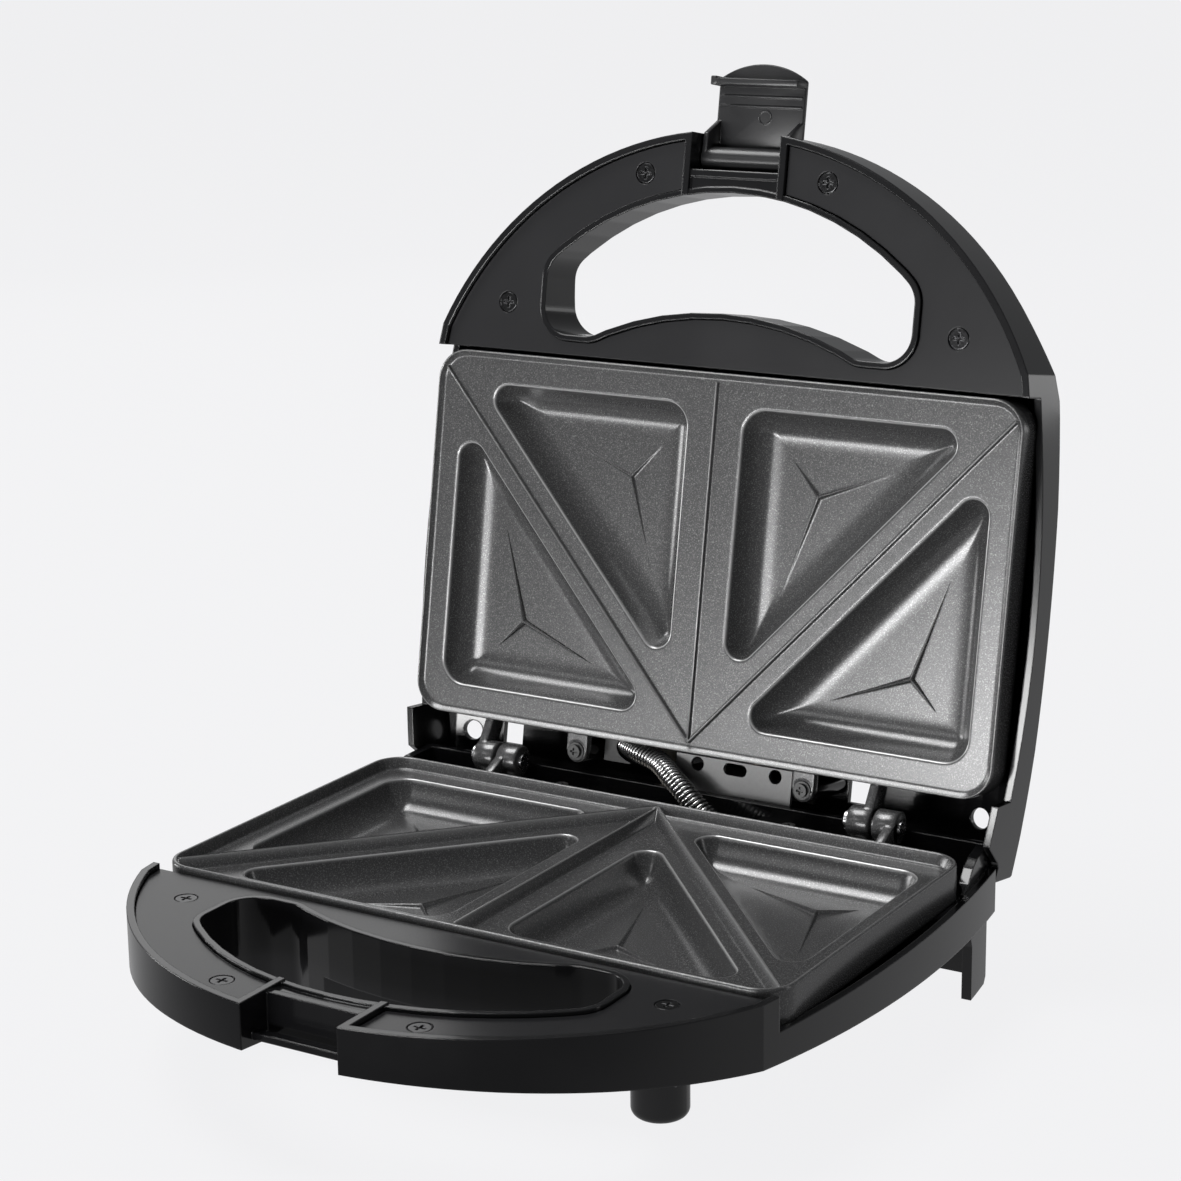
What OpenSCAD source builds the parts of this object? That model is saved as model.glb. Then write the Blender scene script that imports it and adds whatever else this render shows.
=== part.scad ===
/* [Cooking plates] */
// Width of each plate
plate_w = 220; // [185:1:264]
// Depth of each plate, front to back
plate_d = 127.5; // [107:0.5:153]
// Corner radius of a plate
plate_corner_r = 9; // [7:0.5:11]
// Height of the skirt round a plate
skirt_h = 12; // [11:0.5:14]
// Thickness of the cast plates
plate_t = 2.2; // [1.8:0.1:2.4]
// Height of the rim above the field of the lower plate
base_rim_h = 4; // [3:0.5:5]
// Height of the rim above the field of the upper plate
lid_rim_h = 1.6; // [1.2:0.1:3]
// Depth of a sandwich pocket below the field
pocket_depth = 12; // [10:0.5:12.5]
// Width of the sloped wall round a pocket's floor
pocket_slope_w = 8; // [6:0.5:9]
// Corner radius of a pocket's outline
pocket_corner_r = 7.5; // [6:0.5:9]
// Gap between the diagonal ridge and the pocket on each side of it
ridge_margin = 6.5; // [6:0.5:8]

/* [Shells] */
// How far the handle stands out in front of the plates
handle_d = 79.5; // [72:0.5:96]
// Gap between a plate's side and the widest line of the shells
side_margin = 6.5; // [6:0.5:9]
// Wall thickness of the moulded shells
wall = 2.4; // [2:0.1:2.6]
// Height of the seam between the halves above the table
stand_h = 50; // [48:1:60]
// Height of the lid above the seam
lid_h = 31; // [30:0.5:37]
// Depth of the lid's nose, in front of the hand opening
lid_nose_h = 19.5; // [18.5:0.5:22]
// Depth of the base's nose below the seam
base_nose_h = 14.4; // [14:0.5:17]
// Depth of the base's side walls at the back
base_side_h = 25.3; // [25:0.5:28]
// How far the side walls are cut down beside the plates
side_step = 11; // [9:0.5:12]
// Gap between the two shells, and between their plates, when shut
seam_gap = 0.5; // [0.4:0.1:1]

/* [Hand opening and covers] */
// Width of the hand opening
grip_w = 137.6; // [120:0.5:150]
// Width of the solid front bar of the handle, nose to opening
grip_bar = 20.5; // [20:0.5:24]
// Clear depth of the hand opening at its middle
grip_d = 39.5; // [32:0.5:42]
// Thickness of a handle cover
cover_t = 2; // [1.6:0.1:2.5]
// Depth of a cover's face below the rim round it
cover_sink = 1.7; // [1:0.1:2.5]
// Radius of a cover screw's head
screw_head_r = 3.4; // [3:0.1:3.8]

/* [Hinge] */
// Distance from the plates' back edge to the hinge axis
hinge_y = 12.6; // [12.4:0.1:13.2]
// Radius of the hinge knuckles
knuckle_r = 5.5; // [5:0.1:5.6]
// Radius of the hinge pins
hinge_pin_r = 2; // [1.6:0.1:2.4]
// Distance of each hinge from the middle
hinge_x = 72; // [64:0.5:80]
// Length of one knuckle
knuckle_len = 8; // [7:0.5:9]
// Angle between the halves when open
open_angle = 100; // [95:1:104]

/* [Latch] */
// Clear width of the notch that the latch lies in
notch_w = 33; // [30:0.5:36]
// Depth of the notch from the nose
notch_d = 13.3; // [13:0.1:14]
// Height of the latch pivot above the seam
latch_z = 11; // [10.5:0.1:11.5]
// Distance from the latch's pivot to its hook
latch_reach = 24.4; // [24:0.1:25]
// Thickness of the latch plate
latch_t = 2.2; // [2:0.1:2.6]

/* [Clearances] */
// Radial gap of a pin that turns
running_gap = 0.05; // [0.02:0.01:0.1]
// Gap between parts that only lie side by side
side_gap = 0.3; // [0.2:0.05:0.4]

/* [Hidden] */
$fn = 96;

// Places along the depth: 0 is the plates' back edge, and the front is negative
nose_y = -(plate_d + handle_d);
well_y = -(plate_d + 1);
rear_y = hinge_y + 8.2;
lid_rear_y = hinge_y + 14.4;
body_w = plate_w + 2 * side_margin;

// The outline has a front arc through the nose and the plates' front corners, and two long side arcs
corner_x = plate_w / 2 + 3;
front_r = (corner_x * corner_x + handle_d * handle_d) / (2 * handle_d);
front_cy = nose_y + front_r;
side_cy = -0.43 * plate_d;
side_bulge = side_margin - 1;
side_dy = plate_d + side_cy;
side_r = (side_bulge * side_bulge + side_dy * side_dy) / (2 * side_bulge);

// Heights from the seam
rim_z = seam_gap;
cover_z = rim_z + cover_sink;
belly_run = rear_y + 5 - nose_y;
belly_r = belly_run * belly_run / (2 * (base_side_h - base_nose_h));
base_floor_z = -(base_rim_h + pocket_depth + plate_t + 10.4);
base_pan_z = base_floor_z - wall;
lid_roof_z = lid_h - wall;
base_field_z = -(seam_gap + base_rim_h);
lid_field_z = seam_gap + lid_rim_h;

// The hand opening lies between two arcs
grip_front_r = front_r - grip_bar;
grip_back_r = 115;
grip_back_y = nose_y + grip_bar + grip_d + grip_back_r;
grip_corner_r = 9.5;
lip = 2;

// Screws in the covers, counted from the nose
cover_screws = [for (s = [-1, 1]) each [[s * 34, nose_y + 15.5], [s * (corner_x - 28.5), nose_y + 62]]];
screw_r = 1.4;
post_r = 3.8;

lip_z = 1;
bridge_z = 1.4;
screw_head_h = 1;
pan_margin = 28;
pan_front_y = nose_y + grip_bar + grip_d + 11;
pan_top_z = -18;
pan_slope = 10;
pan_front_slope = 5;
sheet_margin = [32, 22.5];
lid_shoulder = 34;

// Screws that hold the plates' back tabs
tab_x = 43.5;
tab_y = 6.2;
tab_half_w = 3.9;
tab_head_r = 2.3;
tab_t = 3;

// The ridges run from a point near the back edge to the front corners
ridge_apex = [0, -3.5];
ridge_end = [plate_w / 2 - 3, -(plate_d - 6.5)];
ridge_slope = (ridge_end.y - ridge_apex.y) / ridge_end.x;
ridge_rise = ridge_margin * sqrt(1 + ridge_slope * ridge_slope);
pocket_x_in = 10.5;
pocket_x_out = plate_w / 2 - 9.7;
pocket_y_back = -10.5;
pocket_y_front = -(plate_d - 11);

// The heating element runs under the pockets
element_r = 3.3;
element_x = 62;
element_back_y = -18;
element_front_y = -(plate_d - 24);
element_end_x = 18;
element_end_y = 3;
element_bend_r = 12;
element_below = pocket_depth + plate_t + element_r + 0.2;

clamp_posts = [[0, element_front_y + 11], for (sx = [-1, 1]) [sx * (element_x - 9.5),
    ridge_apex.y + ridge_slope * (element_x - 9.5)]];
strap_t = 0.8;
sheet_t = 0.6;
hook_x = [54, 66];
hook_z = [7, 9];
base_tab_drop = 4.5;
lid_tab_drop = 2;

// The latch
latch_y = nose_y + notch_d - 4.3;
latch_barrel_r = 3.9;
latch_pin_r = 1.5;
latch_plate_dz = 5;
latch_half_w = notch_w / 2 - side_gap;

// The bar in the base's notch that the hook catches
keeper_top = latch_z - latch_reach + 0.4 + 2.2;
keeper_bottom = latch_z - latch_reach + 0.4;
keeper_front = latch_y - 3;

// Feet
front_foot_x = 66.5;
front_foot_y = nose_y + 89;
front_foot_r = 8.75;
rear_wing_t = 3.3;

// The nose beside the notch and the open latch's tip fix where the middle of the object is
latch_tip = latch_reach + 7.6;
front_y = front_cy - sqrt(front_r * front_r - notch_w * notch_w / 4);
back_y = hinge_y - cos(open_angle) * (hinge_y - latch_y + latch_tip)
    + sin(open_angle) * (latch_z + latch_plate_dz + latch_t);
mid_y = (front_y + back_y) / 2;

// Harness route, in the open position: from the base, past the hinge, into the lid
harness_r = 4;
harness_route = [
    [34, 9, -15], [24, 9, -12.5], [14, 9.5, -8.5], [7, 10, -3.8], [1.5, 11.5, 0], [-5.2, 15, 3],
    [-13, 20.5, 5.2], [-24, 24.5, 5.5], [-33, 32, 5.5]];
harness_last = len(harness_route) - 1;

// Fittings of the two halves
knuckle_gap = 0.6;
arm_w = 3.4;
vent_x = [[-89.5, -81.5], [48, 56]];
air_holes = [[-101.5, 9.5], [96.3, 10]];
air_hole_r = 3.5;
block_x = -40;
block_y = rear_y - wall - 8;
block_z = -17.3;
gland_x = -98;
gland_y = 8;
gland_r = 6;
gland_h = 5;
cord_r = 3.2;
lamp_x = 11;
lamp_y = -(plate_d + 10);
lens_r = 3.5;
lamp_roof_z = lid_nose_h + (lid_h - lid_nose_h) * (0.5 + 0.5 * cos(180 * 37 / 57));

module place() { translate([0, -mid_y, stand_h]) children(); }
module place_lid() {
    place() translate([0, hinge_y, 0]) rotate([-open_angle, 0, 0]) translate([0, -hinge_y, 0])
        children();
}
module both_sides() { children(); mirror([1, 0, 0]) children(); }
// An outline drawn in depth and height, made as wide as asked
module across(w) {
    translate([-w / 2, 0, 0]) rotate([90, 0, 90]) linear_extrude(w) children();
}
module box(low, high) {
    translate(low) cube(high - low);
}
module rod(a, b, r) {
    d = b - a;
    translate(a) rotate([0, acos(d.z / norm(d)), atan2(d.y, d.x)]) cylinder(r = r, h = norm(d));
}
// A round tube along a smooth path through the given points
function path_point(p, i, t) =
    let (last = len(p) - 1, a = p[max(i - 1, 0)], b = p[i])
    let (c = p[min(i + 1, last)], d = p[min(i + 2, last)])
    0.5 * (2 * b + (c - a) * t + (2 * a - 5 * b + 4 * c - d) * t * t + (3 * b - a - 3 * c + d) * t * t * t);
function smooth_path(p, n) = [for (i = [0 : len(p) - 2], k = [0 : n - 1])
    path_point(p, i, k / n), p[len(p) - 1]];
function unit(v) = v / norm(v);
module tube(points, r, n = 3, sides = 12) {
    path = smooth_path(points, n);
    last = len(path) - 1;
    along = [for (i = [0 : last]) unit(path[min(i + 1, last)] - path[max(i - 1, 0)])];
    turns = [for (k = [0 : sides - 1]) 360 * k / sides];
    rings = [for (i = [0 : last]) let (u = unit(cross(along[i], [0, 0, 1])), v = cross(u, along[i]))
        each [for (a = turns) path[i] + r * (cos(a) * u + sin(a) * v)]];
    polyhedron(rings, concat([[for (k = [0 : sides - 1]) k]],
        [for (i = [0 : last - 1], k = [0 : sides - 1]) let (a = i * sides, b = a + sides,
            m = (k + 1) % sides)
            [a + k, b + k, b + m, a + m]],
        [[for (k = [sides - 1 : -1 : 0]) last * sides + k]]));
}
module rounded_rect(x, y0, y1, r) {
    translate([-x, y0 + r]) square([2 * x, y1 - y0 - 2 * r]);
    translate([-x + r, y0]) square([2 * (x - r), y1 - y0]);
    for (sx = [-1, 1], cy = [y0 + r, y1 - r]) translate([sx * (x - r), cy]) circle(r = r);
}

// Outlines seen from above
module outline(inset, back) {
    intersection() {
        union() {
            translate([0, front_cy]) circle(r = front_r - inset, $fn = 240);
            translate([-body_w, front_cy]) square([2 * body_w, back - inset - front_cy]);
        }
        translate([side_r - body_w / 2, side_cy]) circle(r = side_r - inset, $fn = 720);
        translate([body_w / 2 - side_r, side_cy]) circle(r = side_r - inset, $fn = 720);
    }
}
module grip_outline(grow) {
    offset(r = grip_corner_r + grow, $fn = 64) offset(delta = -grip_corner_r) intersection() {
        difference() {
            translate([0, front_cy]) circle(r = grip_front_r);
            translate([0, grip_back_y]) circle(r = grip_back_r);
        }
        translate([-grip_w / 2, nose_y]) square([grip_w, handle_d - 8]);
    }
}
module notch_outline(grow) {
    translate([-notch_w / 2 - grow, nose_y - 5]) square([notch_w + 2 * grow, notch_d + 5 + grow]);
}

// Side views, in depth and height
function belly(y) = -base_side_h + pow(y - rear_y - 5, 2) / (2 * belly_r);
function belly_points(lift) =
    [for (i = [0 : 14]) let (y = rear_y + 1 - i * (rear_y + 2 - nose_y) / 14) [y, belly(y) + lift]];
module base_side() {
    polygon(concat([[nose_y - 1, -rim_z], [well_y, -rim_z], [well_y, -side_step], [rear_y + 1,
        -side_step]],
        belly_points(0)));
}
module base_hollow_side() {
    polygon(concat([[nose_y - 1, 5], [rear_y + 1, 5]], belly_points(wall)));
}
// The raised corner beside the hinge, the rear foot under it and the arch in front of the foot
module wing_side() {
    polygon([[-6, -side_step - 1], [-6, -side_step], [-1, -9], [3, -5.5], [8, -3.6], [rear_y, -2.4],
        [rear_y, -stand_h + 2], [rear_y - 2, -stand_h], [4, -stand_h], [4, -32], [2.4, -28.6], [-1,
            -26.5], [-6, -25],
        [-6, -side_step - 1]]);
}
module pan_side(inset) {
    front = pan_front_y + inset;
    back = rear_y - 4 - inset;
    floor_z = base_pan_z + inset;
    polygon([
        [front - pan_front_slope, floor_z + pan_front_slope], [front, floor_z], [back - 3, floor_z],
        [back, floor_z + pan_slope], [back, pan_top_z], [front - pan_front_slope, pan_top_z]]);
}
module pan_front(inset) {
    half = plate_w / 2 - pan_margin - inset;
    floor_z = base_pan_z + inset;
    polygon([
        [-half - pan_slope, pan_top_z], [-half - pan_slope, floor_z + pan_slope], [-half, floor_z],
        [half, floor_z], [half + pan_slope, floor_z + pan_slope], [half + pan_slope, pan_top_z]]);
}
module pan(inset) {
    intersection() {
        across(body_w) pan_side(inset);
        translate([0, rear_y, 0]) rotate([90, 0, 0]) linear_extrude(rear_y - pan_front_y + 10)
            pan_front(inset);
    }
}
// The lid's roof falls in front of the plates and rounds over at the back
function roof_z(t) = lid_nose_h + (lid_h - lid_nose_h) * (0.5 + 0.5 * cos(180 * t));
function roof_points(drop) = concat(
    [for (i = [0 : 6]) let (a = i * 15)
        [lid_rear_y + 1 - 10 + 10 * cos(a) - drop, lid_h - 10 - drop + 10 * sin(a)]],
    [for (i = [0 : 12]) [-(plate_d - 27) - 57 * i / 12, roof_z(i / 12) - drop]],
    [[nose_y - 1, lid_nose_h - drop]]);
module lid_side() {
    polygon(concat([[nose_y - 1, rim_z], [well_y, rim_z], [well_y, side_step - 1], [0, side_step - 1],
        [0.5, rim_z],
        [14, rim_z], [20, 10.5], [22, 12.5], [lid_rear_y + 1, 12.5]], roof_points(0)));
}
module lid_hollow_side() {
    polygon(concat([[nose_y - 1, -5], [lid_rear_y + 1 - wall, -5]], roof_points(wall)));
}
module lid_front(drop) {
    half = body_w / 2 + 1;
    edge = lid_nose_h - 1.5;
    polygon(concat([[-half, -5], [half, -5]],
        [for (i = [0 : 8]) let (a = 90 * i / 8)
            [half - lid_shoulder * (1 - cos(a)), edge - drop + (lid_h - edge) * sin(a)]],
        [for (i = [8 : -1 : 0]) let (a = 90 * i / 8)
            [-half + lid_shoulder * (1 - cos(a)), edge - drop + (lid_h - edge) * sin(a)]]));
}
module under_roof(inset) {
    intersection() {
        translate([0, lid_rear_y + 1, 0]) rotate([90, 0, 0]) linear_extrude(lid_rear_y - nose_y + 3)
            lid_front(inset);
        translate([0, 0, -5]) linear_extrude(lid_h + 10) outline(inset, lid_rear_y);
    }
}
// Cast plates
module plate_outline(inset) {
    rounded_rect(plate_w / 2 - inset, -plate_d + inset, -inset, max(plate_corner_r - inset, 1));
}
// The triangle's corners, its centre and the distance to its sides
function inner_corners() = [[pocket_x_in, pocket_y_front],
    [(pocket_y_front - ridge_apex.y + ridge_rise) / ridge_slope, pocket_y_front],
    [pocket_x_in, ridge_apex.y + ridge_slope * pocket_x_in - ridge_rise]];
function outer_corners() = [[pocket_x_out, pocket_y_back],
    [(pocket_y_back - ridge_apex.y - ridge_rise) / ridge_slope, pocket_y_back],
    [pocket_x_out, ridge_apex.y + ridge_slope * pocket_x_out + ridge_rise]];
function side_lengths(c) = [norm(c[1] - c[2]), norm(c[2] - c[0]), norm(c[0] - c[1])];
function triangle_centre(c) = let (s = side_lengths(c))
    (s[0] * c[0] + s[1] * c[1] + s[2] * c[2]) / (s[0] + s[1] + s[2]);
function triangle_reach(c) = let (s = side_lengths(c)) s[1] * s[2] / (s[0] + s[1] + s[2]);
// A pocket that narrows towards its floor, drawn downwards from the field
module pocket(c, grow, depth) {
    middle = triangle_centre(c);
    reach = triangle_reach(c);
    translate([middle.x, middle.y, 0]) mirror([0, 0, 1])
        linear_extrude(depth, scale = (reach + grow - pocket_slope_w) / (reach + grow))
            offset(r = pocket_corner_r + grow, $fn = 40) offset(delta = -pocket_corner_r)
                polygon([for (p = c) p - middle]);
}
module pockets(grow, depth) {
    for (c = [inner_corners(), outer_corners()]) both_sides() pocket(c, grow, depth);
}
// Three thin arms on a pocket's floor
module fin(c, h) {
    middle = triangle_centre(c);
    for (p = c) let (tip = middle + 0.42 * (p - middle), d = tip - middle)
        translate([middle.x, middle.y, -0.2]) rotate(atan2(d.y, d.x)) translate([-0.5, -0.5, 0])
            cube([norm(d), 1, h + 0.2]);
}
module ridge(h, w) {
    d = ridge_end - ridge_apex;
    both_sides() translate(ridge_apex) rotate(atan2(d.y, d.x)) translate([-1, -w / 2, -0.2])
        cube([norm(d), w, h + 0.2]);
    translate([-w / 2, -plate_d + 2, -0.2]) cube([w, plate_d - 2 - 2.5, h + 0.3]);
}
// A cast plate with its face upwards and the top of its rim at the height 0
module cast_plate(rim_h, tab_drop, knuckles, bore_r, ridge_w) {
    strap_z = -rim_h - element_below - element_r;
    difference() {
        union() {
            difference() {
                translate([0, 0, -skirt_h]) linear_extrude(skirt_h) plate_outline(0);
                translate([0, 0, -rim_h]) linear_extrude(rim_h + 1) plate_outline(2.6);
                translate([0, 0, -skirt_h - 1]) linear_extrude(skirt_h + 1 - rim_h - plate_t)
                    plate_outline(2.6);
            }
            translate([0, 0, -rim_h]) pockets(plate_t, pocket_depth + plate_t);
            for (p = clamp_posts) translate([p.x, p.y, strap_z])
                cylinder(r = post_r, h = -rim_h - 1 - strap_z);
            for (x = knuckles) {
                translate([x, hinge_y, seam_gap]) rotate([0, 90, 0])
                    cylinder(r = knuckle_r, h = knuckle_len);
                arm_x = x > 0 ? x + knuckle_len - arm_w : x;
                box([arm_x, -1, -skirt_h + 2.5], [arm_x + arm_w, hinge_y, -1]);
            }
            both_sides() {
                box([tab_x - tab_half_w, -1, -tab_drop - tab_t], [tab_x + tab_half_w, tab_y, -tab_drop]);
                translate([tab_x, tab_y, -tab_drop - tab_t]) cylinder(r = tab_half_w, h = tab_t);
            }
            both_sides() box([hook_x.x, -plate_d - 5, -hook_z.y], [hook_x.y, -plate_d + 1, -hook_z.x]);
        }
        translate([0, 0, 0.02 - rim_h]) pockets(0, pocket_depth + 0.02);
        for (x = knuckles) translate([x - 1, hinge_y, seam_gap]) rotate([0, 90, 0])
            cylinder(r = bore_r, h = knuckle_len + 2);
        both_sides() translate([tab_x, tab_y, -tab_drop - tab_t - 1])
            cylinder(r = screw_r + 0.2, h = tab_t + 2);
        for (p = clamp_posts) translate([p.x, p.y, strap_z - 1]) cylinder(r = screw_r, h = 9);
    }
    translate([0, 0, -rim_h]) ridge(rim_h - 0.5, ridge_w);
    for (c = [inner_corners(), outer_corners()]) both_sides() translate([0, 0, -rim_h - pocket_depth])
        fin(c, 1.4);
}

// Small repeated pieces, drawn with their heads upwards on the height 0
module pan_head_screw(length, thread_r, head_r, head_h) {
    difference() {
        union() {
            cylinder(r = head_r, h = head_h);
            translate([0, 0, -length]) cylinder(r = thread_r, h = length + 0.1);
        }
        for (a = [0, 90]) rotate(a) translate([-head_r * 0.55, -0.35, head_h * 0.4])
            cube([head_r * 1.1, 0.7, head_h]);
    }
}
module element_bend(centre, start) {
    translate([centre.x, centre.y, 0]) rotate(start) rotate_extrude(angle = 90)
        translate([element_bend_r, 0]) circle(r = element_r, $fn = 48);
}
module element_half() {
    b = element_bend_r;
    x = element_x;
    rod([-0.01, element_front_y, 0], [x - b, element_front_y, 0], element_r);
    element_bend([x - b, element_front_y + b], -90);
    rod([x, element_front_y + b, 0], [x, element_back_y - b, 0], element_r);
    element_bend([x - b, element_back_y - b], 0);
    rod([x - b, element_back_y, 0], [element_end_x + b, element_back_y, 0], element_r);
    element_bend([element_end_x + b, element_back_y + b], 180);
    rod([element_end_x, element_back_y + b, 0], [element_end_x, element_end_y, 0], element_r);
}
module element_at(depth) {
    translate([0, 0, -depth]) both_sides() element_half();
}
// Ceramic end, steel pin and tab on each end of an element
module terminals_at(depth) {
    both_sides() translate([element_end_x, element_end_y, -depth]) rotate([-90, 0, 0]) {
        cylinder(r = element_r + 0.6, h = 4);
        translate([0, 0, 3.9]) cylinder(r = 1.2, h = 5);
    }
}
// A strap under the element with its screw in the plate's post
module clamp_at(p, depth, toward) {
    low = -depth - element_r;
    translate([p.x, p.y, low]) rotate(atan2(toward.y, toward.x)) difference() {
        union() {
            translate([-4, -4, -strap_t]) cube([20, 8, strap_t]);
            translate([14.4, -4, -strap_t]) cube([1.6, 8, element_r + strap_t]);
        }
        translate([0, 0, -2]) cylinder(r = screw_r + 0.1, h = 4);
    }
    translate([p.x, p.y, low - strap_t]) rotate([180, 0, 0]) pan_head_screw(7, screw_r, 2.6, 0.9);
}
module clamps_at(depth) {
    clamp_at(clamp_posts[0], depth, [0, -1]);
    clamp_at(clamp_posts[1], depth, [-1, 0]);
    clamp_at(clamp_posts[2], depth, [1, 0]);
}
module reflector_sheet() {
    difference() {
        linear_extrude(sheet_t)
            rounded_rect(plate_w / 2 - sheet_margin.x, sheet_margin.y - plate_d, -14, 6);
        for (p = clamp_posts) translate([p.x, p.y, -1]) cylinder(r = 2, h = 3);
    }
}
// The cover over the moulded handle, its face at the height 0
module handle_cover() {
    difference() {
        translate([0, 0, -cover_t]) linear_extrude(cover_t) difference() {
            intersection() {
                outline(wall + side_gap, 0);
                translate([-body_w, nose_y]) square([2 * body_w, handle_d - 1.3]);
            }
            grip_outline(lip + side_gap);
            translate([-notch_w / 2 - 2.4 - side_gap, nose_y - 5])
                square([notch_w + 4.8 + 2 * side_gap, 5 + grip_bar + 4]);
        }
        for (p = cover_screws) translate([p.x, p.y, 0]) {
            translate([0, 0, -screw_head_h - 0.1]) cylinder(r = screw_head_r + 0.3, h = 3);
            translate([0, 0, -5]) cylinder(r = screw_r + 0.2, h = 6);
        }
    }
}
module handle_cover_screws() {
    for (p = cover_screws) translate([p.x, p.y, -screw_head_h - 0.1])
        pan_head_screw(9, screw_r, screw_head_r, screw_head_h);
}
// The ribs, walls and posts in the handle of both shells, seam side up and the rim at the height 0
module handle_walls(depth) {
    translate([0, 0, -depth]) {
        linear_extrude(depth - lip_z + rim_z) grip_outline(lip);
        linear_extrude(depth - bridge_z + rim_z) translate([-notch_w / 2 - 2.4, nose_y])
            square([notch_w + 4.8, notch_d + 2.4]);
        for (p = cover_screws) translate([p.x, p.y, 0])
            cylinder(r = post_r, h = depth - cover_sink - cover_t);
    }
    translate([0, 0, -bridge_z - 2]) linear_extrude(2) translate([-notch_w / 2 - 2.4, nose_y])
        square([notch_w + 4.8, grip_bar + 3]);
    for (sx = [-1, 1]) translate([sx * (notch_w / 2 + 1.2) - 1.2, nose_y, -depth])
        cube([2.4, grip_bar + 2.5, depth]);
    box([-body_w, well_y - wall, -depth], [body_w, well_y, -cover_sink - cover_t]);
}
// What is cut out of both shells there
module handle_cuts(depth) {
    translate([0, 0, -depth]) linear_extrude(depth + 5) {
        grip_outline(0);
        notch_outline(0);
    }
    for (p = cover_screws) translate([p.x, p.y, -12]) cylinder(r = screw_r, h = 20);
    both_sides() box([hook_x.x - side_gap, well_y - wall - 1, -hook_z.y - side_gap],
        [hook_x.y + side_gap, well_y + 1, -hook_z.x + side_gap]);
}

// Base
module base_tub_outer() {
    intersection() {
        across(body_w + 4) base_side();
        translate([0, 0, -60]) linear_extrude(70) outline(0, rear_y);
    }
    pan(0);
}
module base_tub_hollow() {
    intersection() {
        across(body_w + 4) base_hollow_side();
        translate([0, 0, -60]) linear_extrude(80) outline(wall, rear_y);
    }
    pan(wall);
}
module wing_ring(t) {
    translate([0, 0, -stand_h]) linear_extrude(stand_h) difference() {
        outline(wall + side_gap, rear_y + wall + side_gap);
        outline(wall + side_gap + t, rear_y + 40);
        translate([-plate_w, nose_y]) square([2 * plate_w, -nose_y - 6]);
    }
}
module base_shell() {
    color("#1b1b1c") place() difference() {
        union() {
            difference() {
                base_tub_outer();
                base_tub_hollow();
            }
            intersection() {
                base_tub_outer();
                translate([0, 0, -rim_z]) handle_walls(60);
            }
            intersection() {
                across(body_w + 4) wing_side();
                wing_ring(rear_wing_t);
            }
            rear_wall();
            both_sides() front_foot();
            both_sides() translate([tab_x, tab_y, base_pan_z + 1])
                cylinder(r = post_r, h = -base_pan_z - 1 - rim_z - base_tab_drop - tab_t);
            box([-notch_w / 2 - 1, keeper_front, keeper_bottom], [notch_w / 2 + 1, keeper_front + 3,
                keeper_top]);
        }
        difference() {
            translate([0, 0, -rim_z]) handle_cuts(60);
            box([-notch_w / 2 - 1, keeper_front, keeper_bottom], [notch_w / 2 + 1, keeper_front + 3,
                keeper_top]);
        }
        translate([0, 0, -skirt_h - 2]) linear_extrude(skirt_h + 6)
            rounded_rect(plate_w / 2 + 0.6, -plate_d - 0.6, 1, plate_corner_r);
        both_sides() translate([tab_x, tab_y, base_pan_z + 10]) cylinder(r = screw_r, h = 40);
        translate([gland_x, gland_y, belly(gland_y) - 1]) cylinder(r = gland_r - 1, h = wall + 2);
    }
}
module rear_wall() {
    difference() {
        intersection() {
            translate([0, 0, -stand_h]) linear_extrude(stand_h)
                outline(wall + side_gap, rear_y + wall + side_gap);
            box([-body_w, rear_y - wall, -stand_h + 2.5], [body_w, rear_y, -2.4]);
        }
        box([-64, rear_y - wall - 1, -stand_h], [-55, rear_y + 1, -stand_h + 11]);
    }
}
module front_foot() {
    foot_top = stand_h + base_pan_z + 1;
    translate([front_foot_x, front_foot_y, -stand_h]) {
        difference() {
            union() {
                translate([0, 0, 3]) cylinder(r = front_foot_r, h = foot_top - 3);
                cylinder(r = front_foot_r - 3, h = 5);
                rotate_extrude() translate([front_foot_r - 3, 3]) circle(r = 3);
            }
            translate([0, 0, 4]) cylinder(r = front_foot_r - wall, h = foot_top - 6);
        }
        rotate([90, 0, 90]) translate([0, 0, -1.25]) linear_extrude(2.5)
            polygon([[front_foot_r - 1, 10], [front_foot_r + 5, foot_top], [front_foot_r - 1, foot_top]]);
    }
}
module base_handle_cover() {
    color("#2b2b2d") place() translate([0, 0, -cover_z]) handle_cover();
}
module base_cover_screws() {
    color("#3a3a3c") place() translate([0, 0, -cover_z]) handle_cover_screws();
}
module base_plate() {
    color("#4b4b4c") place() translate([0, 0, -seam_gap]) {
        cast_plate(base_rim_h, base_tab_drop, [hinge_x + knuckle_gap, -hinge_x + knuckle_gap],
            hinge_pin_r, 1.6);
    }
}
module tab_screws(tab_drop) {
    both_sides() translate([tab_x, tab_y, -tab_drop]) {
        translate([0, 0, 0.6]) pan_head_screw(12, screw_r, tab_head_r, 1.4);
        difference() {
            cylinder(r = tab_head_r + 0.8, h = 0.6);
            translate([0, 0, -1]) cylinder(r = screw_r + 0.1, h = 3);
        }
    }
}
module base_plate_screws() {
    color("#b9babc") place() translate([0, 0, -seam_gap]) tab_screws(base_tab_drop);
}
module base_element() {
    color("#6d6a66") place() element_at(element_below + seam_gap + base_rim_h);
}
module base_element_terminals() {
    color("#cfc9bd") place() terminals_at(element_below + seam_gap + base_rim_h);
}
module base_element_clamps() {
    color("#a9aaad") place() clamps_at(element_below + seam_gap + base_rim_h);
}
module base_reflector() {
    color("#b4b5b8") place() translate([0, 0, base_floor_z]) reflector_sheet();
}
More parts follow.
